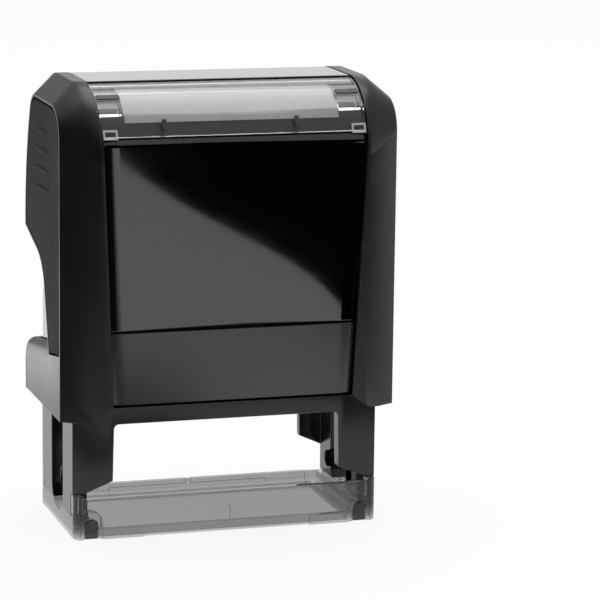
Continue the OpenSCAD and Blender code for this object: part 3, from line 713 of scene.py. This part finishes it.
def floor_white():
    """Pale floor that reads as white, also in gloss and through clear plastic, with its shadow."""
    finish, tree, shader = new_finish("floor_white")
    put(shader, {"Base Color": (*grey(0.86), 1.0), "Roughness": 0.9, "Specular IOR Level": 0.1})
    glow = tree.nodes.new("ShaderNodeEmission")
    put(glow, {"Strength": 1.0})
    _, seen = seen_rays(tree)
    mix = tree.nodes.new("ShaderNodeMixShader")
    tree.links.new(remap(tree, seen, 0.0, 1.0, 0.0, 0.9), mix.inputs["Fac"])
    tree.links.new(shader.outputs["BSDF"], mix.inputs[1])
    tree.links.new(glow.outputs["Emission"], mix.inputs[2])
    tree.links.new(mix.outputs["Shader"], tree.nodes["Material Output"].inputs["Surface"])
    return finish


def studio_floor():
    bpy.ops.object.select_all(action="DESELECT")
    bpy.ops.mesh.primitive_plane_add(size=4.0, location=(0, 0, 0))
    floor = bpy.context.active_object
    floor.name = "studio_floor"
    bpy.ops.object.mode_set(mode="EDIT")
    bpy.ops.mesh.subdivide(number_cuts=3)
    done()
    floor.data.materials.append(floor_white())


def velvet(name, level):
    finish, tree, shader = new_finish(name)
    put(shader, {"Base Color": (*grey(0.002), 1.0), "Roughness": 1.0, "Specular IOR Level": level})
    return finish, tree, shader


BLACK_VELVET, _, _ = velvet("black_velvet", 0.0)


def thinning_velvet(dark_x, light_x):
    """Velvet that thins out to nothing towards the right."""
    finish, tree, shader = velvet("thinning_velvet", 0.5)
    split = tree.nodes.new("ShaderNodeSeparateXYZ")
    tree.links.new(own_place(tree), split.inputs["Vector"])
    tree.links.new(remap(tree, split.outputs["X"], dark_x, light_x, 1.0, 0.0),
                   shader.inputs["Alpha"])
    return finish


def dark_for_gloss(card, name, finish):
    """Dresses a dark card that only mirrors see."""
    card.name = name
    card.data.materials.append(finish)
    card.visible_camera = False
    card.visible_diffuse = False
    card.visible_shadow = False
    card.visible_transmission = False


def dark_card(name, size, place, turn=(0.0, 0.0, 0.0), finish=BLACK_VELVET):
    """Flat dark card that keeps a face from mirroring the white room."""
    bpy.ops.object.select_all(action="DESELECT")
    bpy.ops.mesh.primitive_plane_add(size=1.0, location=place, rotation=turn)
    bpy.ops.transform.resize(value=(*size, 1.0), orient_type="LOCAL")
    dark_for_gloss(settle(), name, finish)


def floor_card():
    """Dark card on the floor in front, whose bowed edge shows in the glossy plate."""
    edge, right = 64 * MM, 330 * MM
    far, near = -940 * MM, -120 * MM
    bow, bow_at, bow_l = 13 * MM, -212 * MM, 75 * MM
    rows, lift = 60, 0.4 * MM
    bpy.ops.object.select_all(action="DESELECT")
    bpy.ops.mesh.primitive_grid_add(x_subdivisions=1, y_subdivisions=rows, size=1.0,
                                    location=((edge + right) / 2, (far + near) / 2, lift))
    bpy.ops.transform.resize(value=(right - edge, near - far, 1.0))
    card = settle()
    for row in range(rows + 1):
        y = far + (near - far) * row / rows
        pick_points(card, lambda p: abs(p.co.y - y) < MM and p.co.x < edge + MM)
        shift((bow * math.exp(-((y - bow_at) / bow_l) ** 2), 0, 0))
    dark_for_gloss(card, "floor_card", BLACK_VELVET)


def lamp(name, place, aim, size, power):
    light = bpy.data.lights.new(name, "AREA")
    light.shape = "RECTANGLE"
    light.size, light.size_y = size
    light.energy = power
    made = bpy.data.objects.new(name, light)
    scene.collection.objects.link(made)
    made.location = place
    made.visible_camera = False
    made.rotation_euler = (Vector(aim) - Vector(place)).to_track_quat("-Z", "Y").to_euler()


def white_room():
    """White surroundings, dimmer as a source of soft light and in gloss."""
    soft_light, in_gloss = 0.55, 0.5
    world = bpy.data.worlds.new("white_room")
    scene.world = world
    world.use_nodes = True
    tree = world.node_tree
    back = tree.nodes["Background"]
    put(back, {"Color": (1.0, 1.0, 1.0, 1.0)})
    rays, seen = seen_rays(tree)
    level = remap(tree, seen, 0.0, 1.0, soft_light, 1.0)
    dim = remap(tree, rays["Is Glossy Ray"], 0.0, 1.0, 1.0, in_gloss)
    tree.links.new(maths(tree, "MULTIPLY", level, dim), back.inputs["Strength"])


def camera_at_photo():
    """Camera fitted to the straight edges of the cap and the base."""
    yaw, pitch, roll = math.radians(17.262), math.radians(11.252), math.radians(0.735)
    target, distance = Vector((18.698, 0.0, 41.552)) * MM, 583.952 * MM
    focal_px, photo_px, sensor = 2967.488, 600.0, 36.0
    back = Vector((-math.sin(yaw) * math.cos(pitch), -math.cos(yaw) * math.cos(pitch),
                   math.sin(pitch)))
    right = Vector((math.cos(yaw), -math.sin(yaw), 0.0))
    up = back.cross(right)
    right_turned = right * math.cos(roll) + up * math.sin(roll)
    up_turned = up * math.cos(roll) - right * math.sin(roll)
    lens = bpy.data.cameras.new("photo_camera")
    lens.sensor_width = sensor
    lens.lens = sensor * focal_px / photo_px
    lens.clip_start = 0.01
    lens.clip_end = 20.0
    made = bpy.data.objects.new("photo_camera", lens)
    scene.collection.objects.link(made)
    turn = Matrix((right_turned, up_turned, back)).transposed().to_4x4()
    made.matrix_world = Matrix.Translation(target + back * distance) @ turn
    scene.camera = made


studio_floor()
floor_card()
dark_card("left_front_card", (0.5, 0.6), (-0.32, -0.33, 0.0004))
dark_card("middle_front_card", (0.2, 0.63), (-0.098, -0.435, 0.0003),
          finish=thinning_velvet(dark_x=-0.03, light_x=0.002))
dark_card("near_card", (0.045, 0.045), (-0.0075, -0.1025, 0.0003))
dark_card("front_drape", (3.2, 0.5), (0.0, -0.95, 0.25), (math.pi / 2, 0.0, 0.0))
dark_card("left_drape", (0.9, 0.8), (-0.57, -0.5, 0.4), (math.pi / 2, 0.0, math.pi / 2))
lamp("lamp_top", (0.1, 0.2, 0.9), (0, 0, 0.03), (0.8, 0.8), power=5.0)
lamp("lamp_left", (-0.8, 0.3, 0.5), (0, 0, 0.05), (0.6, 0.6), power=1.2)
lamp("lamp_back", (0.37, 0.8, 0.3), (0, 0, 0.08), (0.46, 0.35), power=0.34)
lamp("lamp_low", (-0.085, 0.105, 0.018), (-0.03, 0, 0.018), (0.09, 0.035), power=0.012)
white_room()
camera_at_photo()
